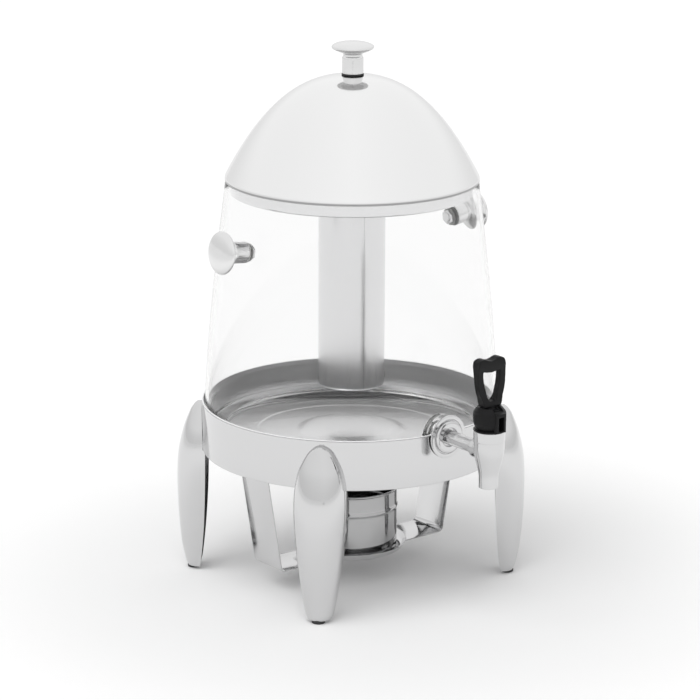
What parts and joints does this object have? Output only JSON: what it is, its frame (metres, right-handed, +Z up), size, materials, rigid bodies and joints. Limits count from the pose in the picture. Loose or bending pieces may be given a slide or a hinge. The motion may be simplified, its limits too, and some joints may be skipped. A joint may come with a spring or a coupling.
{
  "type": "drink dispenser",
  "caption": "Clear drink tank with a lever tap, domed steel lid and hanging ice tube, on a polished legged base with a fuel cup on a strap below.",
  "frame": {"origin": "middle of the footprint box on the ground, under the foot pads", "axes": "+Z up, the tap towards -Y, the two side knobs along X"},
  "size_m": [0.3318, 0.3774, 0.5413],
  "materials": {
    "polished_steel": "mirror polished stainless steel",
    "satin_steel": "finely brushed stainless steel",
    "clear_plastic": "clear glossy polycarbonate",
    "black_plastic": "satin moulded black plastic",
    "black_rubber": "matte black rubber",
    "pale_silicone": "matte translucent silicone"
  },
  "bodies": {
    "stand": {"base_ring": "polished_steel", "base_pan": "polished_steel", "leg_front_left": "polished_steel", "foot_pad_front_left": "black_rubber", "upper_leg_screw_front_left": "satin_steel", "leg_screw_washer_front_left": "satin_steel", "lower_leg_screw_front_left": "satin_steel", "leg_front_right": "polished_steel", "foot_pad_front_right": "black_rubber", "upper_leg_screw_front_right": "satin_steel", "leg_screw_washer_front_right": "satin_steel", "lower_leg_screw_front_right": "satin_steel", "leg_rear_left": "polished_steel", "foot_pad_rear_left": "black_rubber", "upper_leg_screw_rear_left": "satin_steel", "leg_screw_washer_rear_left": "satin_steel", "lower_leg_screw_rear_left": "satin_steel", "leg_rear_right": "polished_steel", "foot_pad_rear_right": "black_rubber", "upper_leg_screw_rear_right": "satin_steel", "leg_screw_washer_rear_right": "satin_steel", "lower_leg_screw_rear_right": "satin_steel", "burner_bracket": "satin_steel", "bracket_nut_1": "satin_steel", "bracket_nut_2": "satin_steel", "bracket_nut_3": "satin_steel", "bracket_nut_4": "satin_steel", "burner_dish": "satin_steel", "dish_rivet": "satin_steel"},
    "burner": {"burner_cup": "polished_steel"},
    "tank": {"tank_shell": "clear_plastic", "side_knob_left": "satin_steel", "side_knob_seal_left": "pale_silicone", "side_knob_stud_left": "satin_steel", "side_knob_washer_left": "pale_silicone", "side_knob_cap_nut_left": "polished_steel", "side_knob_right": "satin_steel", "side_knob_seal_right": "pale_silicone", "side_knob_stud_right": "satin_steel", "side_knob_washer_right": "pale_silicone", "side_knob_cap_nut_right": "polished_steel", "tap_escutcheon": "polished_steel", "tap_outer_seal": "pale_silicone", "tap_inner_seal": "pale_silicone", "tap_lock_nut": "satin_steel", "tap_body": "polished_steel", "tap_bonnet": "black_plastic", "tap_spring": "satin_steel"},
    "valve": {"tap_stem": "satin_steel", "tap_seat_cup": "pale_silicone", "lever_pin": "satin_steel"},
    "lever": {"tap_lever": "black_plastic"},
    "insert": {"ice_plate": "satin_steel", "ice_tube": "satin_steel"},
    "lid": {"lid_dome": "polished_steel", "lid_knob": "satin_steel", "lid_knob_gasket": "black_rubber", "lid_knob_washer": "satin_steel", "lid_knob_screw": "satin_steel"}
  },
  "joints": [
    {"name": "tank_lift", "type": "slide", "parent": "stand", "child": "tank", "axis": [0, 0, 1], "range_m": [0, 0.06]},
    {"name": "insert_lift", "type": "slide", "parent": "tank", "child": "insert", "axis": [0, 0, 1], "range_m": [0, 0.22]},
    {"name": "lid_lift", "type": "slide", "parent": "insert", "child": "lid", "axis": [0, 0, 1], "range_m": [0, 0.06]},
    {"name": "valve_lift", "type": "slide", "parent": "tank", "child": "valve", "axis": [0, 0, 1], "range_m": [0, 0.0057], "deforming": ["tap_spring"]},
    {"name": "lever_pull", "type": "hinge", "parent": "valve", "child": "lever", "pos_m": [0, -0.17143, 0.215], "axis": [1, 0, 0], "range_deg": [0, 45], "stiffness_Nm_per_rad": 0.03, "springref_deg": -85.94},
    {"name": "burner_lift", "type": "slide", "parent": "stand", "child": "burner", "axis": [0, 0, 1], "range_m": [0, 0.02]}
  ],
  "couplings": [
    {"joint": "valve_lift", "follows": "lever_pull", "m_per_rad": 0.00722}
  ]
}
